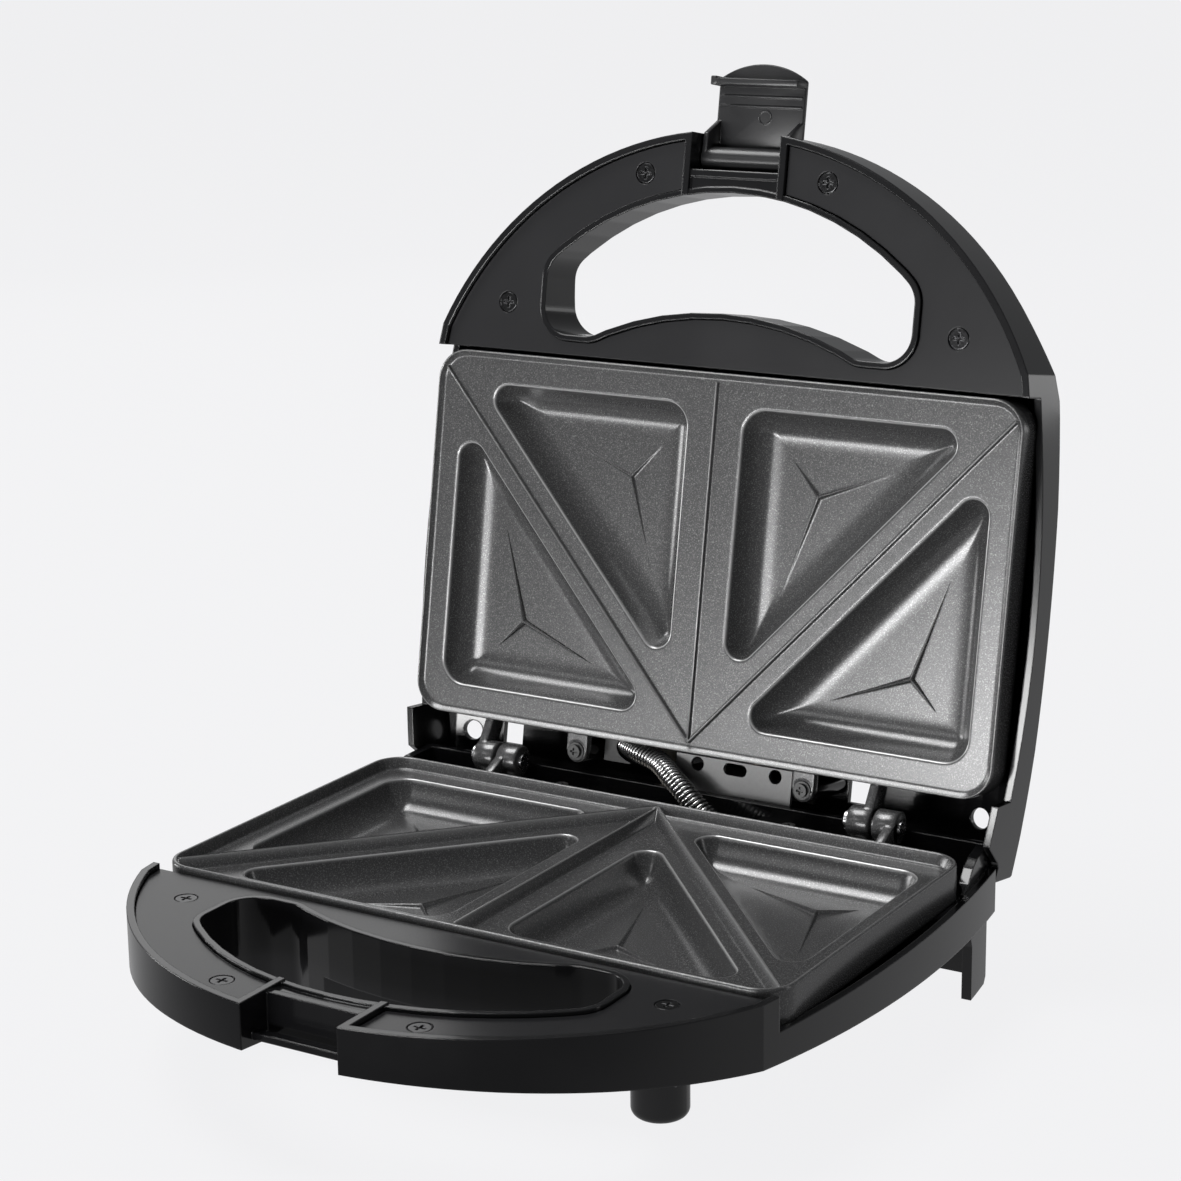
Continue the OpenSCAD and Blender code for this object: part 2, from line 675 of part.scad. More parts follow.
// The thermostat sits under the ridge between the two middle pockets
module thermostat() {
    color("#8d7a58") place() translate([0, -60, base_field_z - plate_t]) mirror([0, 0, 1]) {
        cylinder(r = 7, h = 6);
        translate([0, 0, 5.9]) cylinder(r = 5, h = 6);
        for (sx = [-1, 1]) translate([sx * 3.5 - 0.4, -2, 11.8]) cube([0.8, 4, 4]);
    }
}
module thermal_fuse() {
    color("#c9a24a") place() translate([0, -30, base_field_z - plate_t - 2.1]) rotate([90, 0, 0]) {
        cylinder(r = 2.1, h = 12, center = true);
        cylinder(r = 0.5, h = 26, center = true);
    }
}
module terminal_block() {
    color("#dcd8cb") place() difference() {
        box([block_x - 5, block_y, block_z - 5], [block_x + 19, rear_y - wall, block_z + 5]);
        for (i = [0 : 2]) translate([block_x + 7 * i, block_y - 1, block_z]) rotate([-90, 0, 0])
            cylinder(r = 1.8, h = 6);
    }
}
module cord_inlet() {
    color("#202021") place() translate([gland_x, gland_y, belly(gland_y)]) difference() {
        union() {
            translate([0, 0, -gland_h - 0.12]) cylinder(r = gland_r, h = gland_h);
            translate([0, 0, -1]) cylinder(r = gland_r - 1.05, h = wall + 2);
            translate([0, 0, wall + 0.12]) cylinder(r = gland_r, h = 1.5);
        }
        translate([0, 0, -0.6]) cylinder(r = cord_r + 0.6, h = wall + 5);
        translate([0, 0, -gland_h - 1]) cylinder(r = cord_r, h = gland_h + 2);
    }
}
module earth_tag() {
    color("#c2a85a") place() {
        translate([26, -9, base_floor_z + 0.8]) pan_head_screw(0.8, 1, 2.6, 1.6);
        difference() {
            box([21, -12, base_floor_z], [31, -6, base_floor_z + 0.8]);
            translate([26, -9, base_floor_z - 1]) cylinder(r = 1.05, h = 3);
        }
    }
}
module base_wires() {
    over_pin = 2.45 - (element_below + seam_gap + base_rim_h);
    color("#c8c2b4") place() {
        tube([[element_end_x + 2, 9.6, over_pin], [13, 10.8, -19], [4, 12, -16.5], [-8, 11, -15.8],
            [-17, 6.5, -16],
            [block_x + 15, 6, -16.8], [block_x + 14, 8.5, block_z], [block_x + 14, 12.5, block_z]], 1,
                3, 8);
        tube([[-element_end_x + 1.5, 9.6, over_pin], [-22, 8, -19.2], [block_x + 9, 6, -17.9],
            [block_x + 7, 8.5, block_z], [block_x + 7, 12.5, block_z]], 1, 3, 8);
    }
}

// Hinge pins
module hinge_pin(x) {
    color("#9a9b9e") place() translate([x, hinge_y, 0]) rotate([0, 90, 0]) {
        cylinder(r = hinge_pin_r, h = 2 * knuckle_len + 2 * knuckle_gap + 1.2);
        translate([0, 0, -1.2]) cylinder(r = hinge_pin_r + 1.4, h = 1.2);
        translate([0, 0, 2 * knuckle_len + 2 * knuckle_gap + 0.4])
            cylinder(r = hinge_pin_r + 0.8, h = 1);
    }
}
module hinge_pin_left() {
    hinge_pin(-hinge_x - knuckle_len - knuckle_gap - 0.4);
}
module hinge_pin_right() {
    hinge_pin(hinge_x - knuckle_len - knuckle_gap - 0.4);
}

// Lid, drawn shut above the seam and then opened
module lid_shell() {
    color("#1b1b1c") place_lid() difference() {
        union() {
            difference() {
                intersection() {
                    across(body_w + 4) lid_side();
                    under_roof(0);
                }
                intersection() {
                    across(body_w + 4) lid_hollow_side();
                    under_roof(wall);
                }
            }
            intersection() {
                across(body_w + 4) lid_side();
                under_roof(0);
                translate([0, 0, rim_z]) mirror([0, 0, 1]) handle_walls(60);
            }
            intersection() {
                both_sides() translate([tab_x, tab_y, seam_gap + lid_tab_drop + tab_t])
                    cylinder(r = post_r, h = lid_h);
                across(body_w + 4) lid_hollow_side();
            }
        }
        translate([0, 0, rim_z]) mirror([0, 0, 1]) handle_cuts(60);
        translate([0, 0, -4]) linear_extrude(skirt_h + 6)
            rounded_rect(plate_w / 2 + 0.6, -plate_d - 0.6, 1, plate_corner_r);
        both_sides() translate([tab_x, tab_y, 0]) cylinder(r = screw_r, h = 20);
        for (x = vent_x) box([x.x, 3, lid_roof_z - 8], [x.y, 12.5, lid_h + 5]);
        for (p = air_holes) translate([p.x, p.y, lid_roof_z - 8]) cylinder(r = air_hole_r, h = 20);
        for (sx = [-1, 1]) translate([sx * lamp_x, lamp_y, 0]) cylinder(r = lens_r + 0.05, h = 60);
        translate([0, latch_y, latch_z]) rotate([0, 90, 0])
            cylinder(r = latch_pin_r, h = notch_w + 3.6, center = true);
    }
}
module lid_handle_cover() {
    color("#2b2b2d") place_lid() translate([0, 0, cover_z]) mirror([0, 0, 1]) handle_cover();
}
module lid_cover_screws() {
    color("#3a3a3c") place_lid() translate([0, 0, cover_z]) mirror([0, 0, 1]) handle_cover_screws();
}
module lid_plate() {
    color("#6a6a6b") place_lid() translate([0, 0, seam_gap]) mirror([0, 0, 1])
        cast_plate(lid_rim_h, lid_tab_drop, [hinge_x - knuckle_gap - knuckle_len,
            -hinge_x - knuckle_gap - knuckle_len],
            hinge_pin_r + running_gap, 1);
}
module lid_plate_screws() {
    color("#b9babc") place_lid() translate([0, 0, seam_gap]) mirror([0, 0, 1]) tab_screws(lid_tab_drop);
}
module lid_element() {
    color("#6d6a66") place_lid() mirror([0, 0, 1]) element_at(element_below + lid_field_z);
}
module lid_element_terminals() {
    color("#cfc9bd") place_lid() mirror([0, 0, 1]) terminals_at(element_below + lid_field_z);
}
module lid_element_clamps() {
    color("#a9aaad") place_lid() mirror([0, 0, 1]) clamps_at(element_below + lid_field_z);
}
module lid_reflector() {
    color("#b4b5b8") place_lid() translate([0, 0, lid_roof_z - side_gap]) mirror([0, 0, 1])
        reflector_sheet();
}
// A cast strip behind the plate's back edge that holds one end of the element
module lid_terminal_bracket() {
    z = element_below + lid_field_z;
    color("#8b8b8c") place_lid() difference() {
        union() {
            box([-8, 7.2, 9.3], [36, 9.2, lid_roof_z]);
            box([-8, 7.2, lid_roof_z - 1.5], [36, 15, lid_roof_z]);
            box([-8, 1.8, 9.3], [36, 13.6, 10.8]);
        }
        for (x = [0.2, 29.8]) translate([x, 4.6, 8]) cylinder(r = 2.4, h = 4);
        for (x = [12.2, 17]) translate([x, 4.6, 8]) cylinder(r = 2, h = 4);
        box([12.2, 2.6, 8], [17, 6.6, 12]);
        translate([element_end_x, 5, z]) rotate([-90, 0, 0]) cylinder(r = element_r + 0.9, h = 8);
        for (x = [2, 28.5]) translate([x, 5, 15.5]) rotate([-90, 0, 0]) cylinder(r = 3.4, h = 5);
    }
}
module lid_wires() {
    z = element_below + lid_field_z;
    color("#c8c2b4") place_lid() for (w = [
        [[element_end_x, 12.5, z], [17.6, 14.5, z - 0.5], [13, 17, z - 2.5], [2, 17.5, z - 4], [-9, 17,
            z - 5]],
        [[-element_end_x, 12.5, z], [-17.8, 14.5, z - 0.4], [-13, 17, z - 2]]]) tube(w, 1, 3, 8);
}
module latch_pin() {
    color("#9a9b9e") place_lid() translate([0, latch_y, latch_z]) rotate([0, 90, 0])
        cylinder(r = latch_pin_r, h = notch_w + 3.4, center = true);
}
module latch() {
    dome_r = (latch_half_w * latch_half_w + 81) / 18;
    color("#262627") place_lid() translate([0, latch_y, latch_z]) difference() {
        union() {
            rotate([0, 90, 0]) cylinder(r = latch_barrel_r, h = 2 * latch_half_w, center = true);
            box([-latch_half_w, -latch_barrel_r, 0], [latch_half_w, -1.5, latch_plate_dz + latch_t]);
            translate([0, 0, latch_plate_dz]) linear_extrude(latch_t) {
                translate([-latch_half_w, -latch_tip + 9])
                    square([2 * latch_half_w, latch_tip - 9 - 1.5]);
                intersection() {
                    translate([0, -latch_tip + dome_r]) circle(r = dome_r);
                    translate([-latch_half_w, -latch_tip - 1]) square([2 * latch_half_w, 12]);
                }
            }
            box([-latch_half_w, -latch_reach - 2.2, -1.5], [latch_half_w, -latch_reach,
                latch_plate_dz + 1]);
            both_sides() translate([latch_half_w - 1.8, 0, 0]) rotate([90, 0, 90]) linear_extrude(1.8)
                polygon([[-13.2, latch_plate_dz + 0.5], [-8.2, -3.4], [0, -latch_barrel_r], [0,
                    latch_plate_dz + 0.5]]);
        }
        rotate([0, 90, 0]) cylinder(r = latch_pin_r + running_gap, h = notch_w + 2, center = true);
    }
}
// Indicator lamps beside the middle of the lid, in front of the plate
module lens(x) {
    translate([x, lamp_y, 0]) {
        translate([0, 0, 14]) cylinder(r = lens_r, h = lamp_roof_z - 14 + 0.6);
        translate([0, 0, 13]) cylinder(r = lens_r + 1.2, h = 2);
    }
}
module power_lens() {
    color("#b3261e") place_lid() lens(-lamp_x);
}
module ready_lens() {
    color("#2f8f46") place_lid() lens(lamp_x);
}
module indicator_lamps() {
    color("#e9b27a") place_lid() for (sx = [-1, 1]) translate([sx * lamp_x, lamp_y, 8]) {
        cylinder(r = 1.8, h = 3);
        translate([0, 0, 3]) sphere(r = 1.8);
    }
}
module lamp_holder() {
    color("#d8d4c8") place_lid() box([-lamp_x - 5, lamp_y - 5, 5.5], [lamp_x + 5, well_y - wall, 8]);
}
module base_harness_clamp() {
    color("#9a9b9e") place() difference() {
        intersection() {
            box([24, 2.5, base_pan_z], [35.5, 15.5, -9]);
            base_tub_hollow();
        }
        rod(harness_route[0] + [4, 0, -1], harness_route[1] - [4, 0, -1], harness_r + side_gap);
    }
}
module lid_harness_clamp() {
    color("#9a9b9e") difference() {
        place_lid() box([-38.5, 0.5, 13.2], [-28, 9.5, lid_roof_z]);
        place() rod(harness_route[harness_last] + [-6, 5, 0], harness_route[harness_last - 1],
            harness_r + 0.4);
    }
}
module harness_sheath() {
    color("#b0b1b4") place() tube(harness_route, harness_r, 4, 12);
}

base_shell();
base_handle_cover();
base_cover_screws();
base_plate();
base_plate_screws();
base_element();
base_element_terminals();
base_element_clamps();
base_reflector();
thermostat();
thermal_fuse();
terminal_block();
cord_inlet();
earth_tag();
base_wires();
base_harness_clamp();
hinge_pin_left();
hinge_pin_right();
lid_shell();
lid_handle_cover();
lid_cover_screws();
lid_plate();
lid_plate_screws();
lid_element();
lid_element_terminals();
lid_element_clamps();
lid_reflector();
lid_terminal_bracket();
lid_wires();
lid_harness_clamp();
power_lens();
ready_lens();
indicator_lamps();
lamp_holder();
latch_pin();
latch();
harness_sheath();
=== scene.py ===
import bpy
import bmesh
import math
from collections import namedtuple
from mathutils import Matrix, Vector


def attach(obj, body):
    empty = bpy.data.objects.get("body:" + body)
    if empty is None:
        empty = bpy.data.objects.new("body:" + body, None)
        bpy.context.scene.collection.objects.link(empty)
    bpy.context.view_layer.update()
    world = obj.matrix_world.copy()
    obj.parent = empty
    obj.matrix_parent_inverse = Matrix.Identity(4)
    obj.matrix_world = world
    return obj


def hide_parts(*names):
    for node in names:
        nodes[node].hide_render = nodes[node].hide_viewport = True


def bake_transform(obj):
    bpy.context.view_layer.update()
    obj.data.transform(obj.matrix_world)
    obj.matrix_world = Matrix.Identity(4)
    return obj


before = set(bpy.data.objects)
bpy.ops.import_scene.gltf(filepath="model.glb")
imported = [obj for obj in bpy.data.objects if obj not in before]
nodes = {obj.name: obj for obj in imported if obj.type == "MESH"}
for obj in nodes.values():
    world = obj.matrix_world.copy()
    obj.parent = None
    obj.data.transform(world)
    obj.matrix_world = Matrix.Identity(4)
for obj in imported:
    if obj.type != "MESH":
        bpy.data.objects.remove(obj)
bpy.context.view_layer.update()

# the two moulded shells
# The base and the lid are injection moulded in gloss black phenolic plastic, each in one piece with its
# hand opening, notch and bosses. The mould leaves small radii on every edge and a faint orange-peel skin.


class Tap:
    """One output of a shader node, for use in plain sums."""

    def __init__(self, socket):
        self.socket = socket

    def sum(self, operation, other, flipped=False):
        tree = self.socket.id_data
        node = tree.nodes.new("ShaderNodeMath")
        node.operation = operation
        for place, value in zip(node.inputs, (other, self) if flipped else (self, other)):
            connect(tree, place, value)
        return Tap(node.outputs[0])

    def __add__(self, other):
        return self.sum("ADD", other)

    def __mul__(self, other):
        return self.sum("MULTIPLY", other)

    def __pow__(self, other):
        return self.sum("POWER", other)

    def __rsub__(self, other):
        return self.sum("SUBTRACT", other, flipped=True)

    __radd__ = __add__
    __rmul__ = __mul__


def connect(tree, place, value):
    """Links a socket to a node's output, or sets it to a number or a colour."""
    if isinstance(value, Tap):
        tree.links.new(value.socket, place)
    elif hasattr(value, "__len__"):
        place.default_value = [*value, 1.0]
    else:
        place.default_value = value


# a Mix node's colour sockets go by number, because they share their names with its other sockets
MIX_AMOUNT, MIX_LOW, MIX_HIGH, MIX_RESULT = 0, 6, 7, 2


class Finish:
    """A material under construction."""

    def __init__(self, name):
        self.material = bpy.data.materials.new(name)
        self.material.use_nodes = True
        self.tree = self.material.node_tree
        self.tree.nodes.clear()
        self.place = self.node("TexCoord", out="Object")

    def node(self, kind, settings=None, sockets=None, out=0):
        made = self.tree.nodes.new("ShaderNode" + kind)
        for key, value in (settings or {}).items():
            if key == "stops":
                for stop, (position, grey) in zip(made.color_ramp.elements, value):
                    stop.position = position
                    stop.color = (grey, grey, grey, 1.0)
            else:
                setattr(made, key, value)
        for key, value in (sockets or {}).items():
            connect(self.tree, made.inputs[key], value)
        return Tap(made.outputs[out]) if len(made.outputs) else None

    def noise(self, scale, detail=2.0, roughness=0.5):
        return self.node("TexNoise", sockets={"Vector": self.place, "Scale": scale, "Detail": detail,
                                              "Roughness": roughness})

    def blend(self, amount, low, high):
        return self.node("Mix", {"data_type": "RGBA"}, {MIX_AMOUNT: amount, MIX_LOW: low, MIX_HIGH: high},
                         out=MIX_RESULT)

    def surface(self, sockets, edge, height=None, distance=0.0001, strength=0.3):
        """Ends the material, with its edges rounded by edge and a bump from height, in metres."""
        normal = self.node("Bevel", {"samples": 6}, {"Radius": edge})
        if height is not None:
            normal = self.node("Bump", sockets={"Height": height, "Distance": distance, "Strength": strength,
                                                "Normal": normal})
        shader = self.node("BsdfPrincipled", sockets={**sockets, "Normal": normal})
        self.node("OutputMaterial", sockets={"Surface": shader})
        return self.material


def coat(material, *names):
    """Gives pieces of the CAD model this material alone."""
    for name in names:
        mesh = nodes[name].data
        mesh.materials.clear()
        mesh.materials.append(material)


f = Finish("gloss_black_moulding")
haze = f.noise(scale=38, detail=3)
orange_peel = f.noise(scale=900)
gloss_black = f.surface({"Base Color": f.blend(haze, (0.0035, 0.0035, 0.004), (0.007, 0.007, 0.0075)),
                         "Roughness": 0.09 + haze * 0.10, "Specular IOR Level": 0.45},
                        edge=0.0007, height=orange_peel, distance=0.00002, strength=0.15)
coat(gloss_black, "base_shell", "lid_shell")

# the two handle covers
# A flat C-shaped cover closes each half of the handle from the seam side. It is moulded in satin black,
# with a fine spark-eroded texture, and sits a little below the gloss rim round it.

f = Finish("satin_black_cover")
grain = f.noise(scale=2600, detail=3, roughness=0.6)
cloud = f.noise(scale=26, detail=3)
satin_black = f.surface({"Base Color": f.blend(cloud, (0.010, 0.010, 0.0108), (0.015, 0.015, 0.016)),
                         "Roughness": 0.20 + grain * 0.05 + cloud * 0.05, "Specular IOR Level": 0.27},
                        edge=0.0004, height=grain, distance=0.00001, strength=0.25)
coat(satin_black, "base_handle_cover", "lid_handle_cover", "lamp_holder", "cord_inlet")

# screws, pins and clamps
# Blackened cross-head screws hold the covers, and phosphated ones with washers the plates' back tabs. The
# hinge and latch pins are drawn steel, zinc plated, and so are the elements' pressed clamps.


def steel(name, colour, rough, scuff, edge=0.00015):
    f = Finish(name)
    grain = f.noise(scale=1400, detail=3, roughness=0.6)
    scuffed = [c * (1 - scuff) for c in colour]
    return f.surface({"Base Color": f.blend(grain, scuffed, colour), "Metallic": 1.0,
                      "Roughness": rough + grain * 0.15},
                     edge, height=grain, distance=0.00002)


black_oxide = steel("black_oxide_steel", (0.07, 0.07, 0.072), rough=0.12, scuff=0.6, edge=0.0006)
phosphated = steel("phosphated_steel", (0.10, 0.10, 0.10), rough=0.38, scuff=0.5)
zinc = steel("bright_zinc", (0.62, 0.62, 0.63), rough=0.18, scuff=0.3)
coat(black_oxide, "base_cover_screws", "lid_cover_screws")
coat(phosphated, "base_plate_screws", "lid_plate_screws", "base_harness_clamp", "lid_harness_clamp")
coat(zinc, "hinge_pin_left", "hinge_pin_right", "latch_pin", "base_element_clamps", "lid_element_clamps")

# the two cooking plates
# Die-cast aluminium plates with a grey speckled non-stick coat. Each has a rim, a ridge down the middle, two
# diagonal ridges that seal and cut the bread, and four triangular pockets with a three-armed fin in each.
# Tabs for two screws and the plate's half of each hinge are cast on at the back.

f = Finish("speckled_nonstick")
fleck = f.noise(scale=2300, roughness=0.7)
mottle = f.noise(scale=620, detail=3, roughness=0.6)
cloud = f.noise(scale=22)
bright = f.node("ValToRGB", {"stops": [(0.52, 0.0), (0.72, 1.0)]}, {"Fac": fleck})
ground = f.blend(mottle, (0.042, 0.042, 0.043), (0.070, 0.070, 0.071))
speckled = f.blend(bright, ground, (0.17, 0.17, 0.17))
# a painted highlight: light grey laid over the pockets' lips, the rim's top and the ridges' crests, where
# edges would catch the light
glint_mask = f.node("Attribute", {"attribute_name": "painted_edge_highlight"}, out="Fac") ** 3
nonstick = f.surface({"Base Color": f.blend(glint_mask, speckled, (0.36, 0.36, 0.36)),
                      "Roughness": 0.18 + mottle * 0.08 + cloud * 0.03, "Metallic": 0.35,
                      "Specular IOR Level": 0.6},
                     edge=0.0008, height=fleck * 0.6 + mottle * 0.6, distance=0.00002, strength=0.25)

# The drawing is in millimetres, with the seam at z 0 and the plates' back edge at y 0. The frame's middle
# lies MID in front of that edge, and the seam STAND above the table.
MID = 66.605
STAND = 50.0
OPEN = math.radians(100)
SEAM_GAP = 0.5
HINGE_Y = 12.6
base_place = Matrix.Scale(0.001, 4) @ Matrix.Translation((0, MID, STAND))
lid_place = (base_place @ Matrix.Translation((0, HINGE_Y, 0)) @ Matrix.Rotation(-OPEN, 4, "X")
             @ Matrix.Translation((0, -HINGE_Y, 0)))

# from here to the end of the section z 0 is the top of the plate's rim, and right is x above 0
PLATE_W = 220.0
PLATE_D = 127.5
PLATE_Y = -PLATE_D / 2
PLATE_CORNER = 10.9
PLATE_SKIN = 2.2
SKIRT_FOOT = 12.0
RIM_W = 4.43
CORNER_STEPS = 12

# a plate's own sizes; rim_scale narrows its rim, and crest and foot are half widths per width of its ridges
Plate = namedtuple("Plate", "rim rim_scale ridge crest foot ridge_top tab_drop knuckles")
BASE_PLATE = Plate(rim=4.0, rim_scale=1.0, ridge=1.6, crest=0.28, foot=1.5, ridge_top=-0.5, tab_drop=4.5,
                   knuckles=(72.6, -71.4))
LID_PLATE = Plate(rim=1.6, rim_scale=0.55, ridge=1.0, crest=0.28, foot=0.5, ridge_top=-0.35, tab_drop=2.0,
                  knuckles=(63.4, -80.6))

CENTRE_RIDGE = (Vector((0, -3.6)), Vector((0, -124.2)))
RIGHT_RIDGE = (Vector((0, -3.5)), Vector((107, -121)))
LEFT_RIDGE = (Vector((0, -3.5)), Vector((-107, -121)))
CREST_ROUNDING = 0.18

POCKET_MARGIN = 6.5
INNER_CORNER = (10.5, -116.5)
OUTER_CORNER = (100.3, -10.5)
POCKET_CORNER = 5.5
SQUARE_CORNER = 8.5
TIGHTEST = 0.4
POCKET_DEPTH = 10.0
WALL_RUN = 14.0
WALL_CURVE = 4.0
WALL_RINGS = 20
RING_SPREAD = 1.5
LIP = 0.3
# the pocket's rounded lip: how far in, how far down and how strong a painted highlight each line carries
LIP_LINES = [(-0.9, 0.0, 0.0), (-0.7, 0.0, 0.0), (-0.25, 0.08, 1.0), (0.05, 0.4, 0.8)]
ARC_STEPS = 10

# a fin's peak and the tips of its three arms, in the right-hand inner and outer pocket
INNER_FIN = ((35.7, -89.5), ((63.5, -100.3), (24.7, -55.5), (24.6, -101.1)))
OUTER_FIN = ((74.4, -34.2), ((84.8, -67.0), (45.6, -23.0), (84.3, -24.5)))
FIN_HEIGHT = 1.5
FIN_HALF = 1.0
OPPOSITE = 0.4

TAB_X = 43.5
TAB_SIZE = (7.8, 7.2, 3.0)
TAB_Y = 2.6
TAB_END_Y = 6.2
TAB_ROUNDING = 0.5

ARM_W = 3.4
ARM_SHIFT = 4.6
ARM_Y = (-1.0, 11.0)
# the arm's underside and top, at its front and at its back
ARM_Z = ((-9.0, -1.2), (-4.4, 4.2))
ARM_ROUNDING = 0.6
# the knuckle's section, as radius and place along the pin
KNUCKLE = [(2.07, 0.0), (4.9, 0.0), (5.3, 0.2), (5.5, 0.6), (5.5, 7.4), (5.3, 7.8), (4.9, 8.0), (2.07, 8.0)]


def new_verts(made):
    return [g for g in made if isinstance(g, bmesh.types.BMVert)]


def open_edges(made):
    return [g for g in made if isinstance(g, bmesh.types.BMEdge) and g.is_boundary]


def joined(bm, points):
    """A closed loop of vertices and the edges that join them."""
    loop = [bm.verts.new(p) for p in points]
    return loop, [bm.edges.new((a, b)) for a, b in zip(loop, loop[1:] + loop[:1])]


def round_edges(bm, edges, radius):
    bmesh.ops.bevel(bm, geom=list(edges), offset=radius, segments=2, profile=0.5, affect="EDGES",
                    material=-1)


def full_turn(bm, section, centre, axis, steps):
    """Turns a closed section all the way round an axis."""
    bmesh.ops.spin(bm, geom=joined(bm, section)[1], cent=centre, axis=axis, angle=2 * math.pi, steps=steps,
                   use_merge=True)


def finish_piece(bm, name, place, material, body=None, replaced=None, smooth=35):
    """Makes the mesh a piece of the object, shaded smooth up to an angle in degrees."""
    bmesh.ops.transform(bm, matrix=place, verts=bm.verts)
    bmesh.ops.recalc_face_normals(bm, faces=bm.faces)
    mesh = bpy.data.meshes.new(name)
    bm.to_mesh(mesh)
    bm.free()
    mesh.materials.append(material)
    piece = bpy.data.objects.new(name, mesh)
    bpy.context.scene.collection.objects.link(piece)
    for face in mesh.polygons:
        face.use_smooth = True
    mesh.set_sharp_from_angle(angle=math.radians(smooth))
    if body:
        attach(piece, body)
    if replaced:
        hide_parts(replaced)
    return piece


def triangle(inner):
    """The corners of a right-hand pocket's outline, the square one first."""
    start, end = RIGHT_RIDGE
    run = (end - start).normalized()
    slope = run.y / run.x
    clear = POCKET_MARGIN / run.x * (1 if inner else -1)
    x, y = INNER_CORNER if inner else OUTER_CORNER
    return [Vector((x, y)), Vector(((y - start.y + clear) / slope, y)),
            Vector((x, start.y + slope * x - clear))]


def sides_of(corners):
    """Each side as a point on it and its inward direction."""
    centre = sum(corners, Vector((0, 0))) / 3
    found = []
    for a, b in zip(corners, corners[1:] + corners[:1]):
        inward = Vector((a.y - b.y, b.x - a.x)).normalized()
        if (centre - a).dot(inward) < 0:
            inward = -inward
        found.append((a, inward))
    return found


def wall_drop(inset):
    """The wall starts steep at the outline and runs out in a wide hollow onto the flat floor."""
    return POCKET_DEPTH * (1 - (1 - min(inset / WALL_RUN, 1.0)) ** WALL_CURVE)


def rounded_corner(sides, i, inset):
    """The pocket's corner i as an arc, on the outline that lies inset inside the pocket's edge."""
    (a, n), (b, m) = sides[i - 1], sides[i]
    reach = max(POCKET_CORNER if i else SQUARE_CORNER, inset + TIGHTEST)
    along = Vector((-n.y, n.x))
    centre = a + n * reach
    centre += along * ((b + m * reach - centre).dot(m) / along.dot(m))
    start = math.atan2(-n.y, -n.x)
    turn = (math.atan2(-m.y, -m.x) - start + math.pi) % (2 * math.pi) - math.pi
    angles = [start + turn * k / ARC_STEPS for k in range(ARC_STEPS + 1)]
    return [centre + (reach - inset) * Vector((math.cos(angle), math.sin(angle))) for angle in angles]


def sink_pocket(bm, highlight_layer, inner, side, level):
    """Draws a pocket's wall down from its edge, ring by ring, closes its floor and gives its edge."""
    sides = sides_of(triangle(inner))
    wall = [WALL_RUN * (k / WALL_RINGS) ** RING_SPREAD for k in range(1, WALL_RINGS + 1)]
    lines = LIP_LINES + [(inset, wall_drop(inset) + LIP, 0.0) for inset in wall if inset > LIP]
    edge = None
    for inset, drop, highlight_amount in lines:
        points = [(p.x * side, p.y, level - drop) for i in range(3) for p in rounded_corner(sides, i, inset)]
        if edge is None:
            loop, edge = joined(bm, points)
            edges = edge
            continue
        grown = bmesh.ops.extrude_edge_only(bm, edges=edges)["geom"]
        fresh = set(new_verts(grown))
        edges = open_edges(grown)
        loop = [next(e.other_vert(v) for e in v.link_edges if e.other_vert(v) in fresh) for v in loop]
        for v, p in zip(loop, points):
            v.co = p
            v[highlight_layer] = highlight_amount
    bm.faces.new(loop)
    return edge


def corner_centres(plate):
    """The radius of the field's corners inside the rim, and how far their centres lie from its middle."""
    rim = RIM_W * plate.rim_scale
    radius = PLATE_CORNER - rim
    return radius, PLATE_W / 2 - rim - radius, PLATE_D / 2 - rim - radius


def draw_field(bm, highlight_layer, plate):
    """The flat field with its four pockets, and the plate's underside a skin's thickness below it."""
    radius, far_x, far_y = corner_centres(plate)
    outline = []
    for quarter, (x, y) in enumerate(((1, 1), (-1, 1), (-1, -1), (1, -1))):
        for k in range(CORNER_STEPS + 1):
            turn = math.pi / 2 * (quarter + k / CORNER_STEPS)
            outline.append((x * far_x + radius * math.cos(turn),
                            PLATE_Y + y * far_y + radius * math.sin(turn), -plate.rim))
    edges = joined(bm, outline)[1]
    for inner in (True, False):
        for side in (1, -1):
            edges += sink_pocket(bm, highlight_layer, inner, side, -plate.rim)
    bmesh.ops.triangle_fill(bm, use_beauty=True, use_dissolve=False, edges=edges, normal=(0, 0, 1))
    bmesh.ops.recalc_face_normals(bm, faces=bm.faces)
    under = bmesh.ops.duplicate(bm, geom=list(bm.faces))["geom"]
    bmesh.ops.translate(bm, vec=(0, 0, -PLATE_SKIN), verts=new_verts(under))
    bmesh.ops.reverse_faces(bm, faces=[g for g in under if isinstance(g, bmesh.types.BMFace)])


def raise_rim(bm, highlight_layer, plate):
    """Draws the field's edge up into the rim, down into the skirt and back to the underside's edge."""
    far_x, far_y = corner_centres(plate)[1:]
    rim = plate.rim
    between = -rim - PLATE_SKIN / 2
    top_edge = [e for e in bm.edges if e.is_boundary and e.verts[0].co.z > between]
    low_edge = [e for e in bm.edges if e.is_boundary and e.verts[0].co.z < between]
    # how far out from the last line, and how high above the field, each line of the section is
    section = [(0.3, 0.0), (0.6, 0.12), (0.75, 0.5), (0.75, rim * 0.6), (0.5, rim - 0.45), (0.2, rim - 0.12),
               (0.25, rim), (0.5, rim), (0.3, rim - 0.15), (0.2, rim - 0.5), (0.08, rim - 1.2),
               (0.0, rim - 6.0), (0.0, rim - 8.0), (0.0, rim - SKIRT_FOOT)]
    for out, up in section:
        grown = bmesh.ops.extrude_edge_only(bm, edges=top_edge)["geom"]
        top_edge = open_edges(grown)
        for v in new_verts(grown):
            x, y = v.co.x, v.co.y - PLATE_Y
            away = Vector((x - min(max(x, -far_x), far_x), y - min(max(y, -far_y), far_y), 0)).normalized()
            v.co += away * out * plate.rim_scale
            v.co.z = up - rim
            # the rim's top line carries a painted highlight
            v[highlight_layer] = 0.6 if up == rim else 0.0
    bmesh.ops.bridge_loops(bm, edges=top_edge + low_edge)


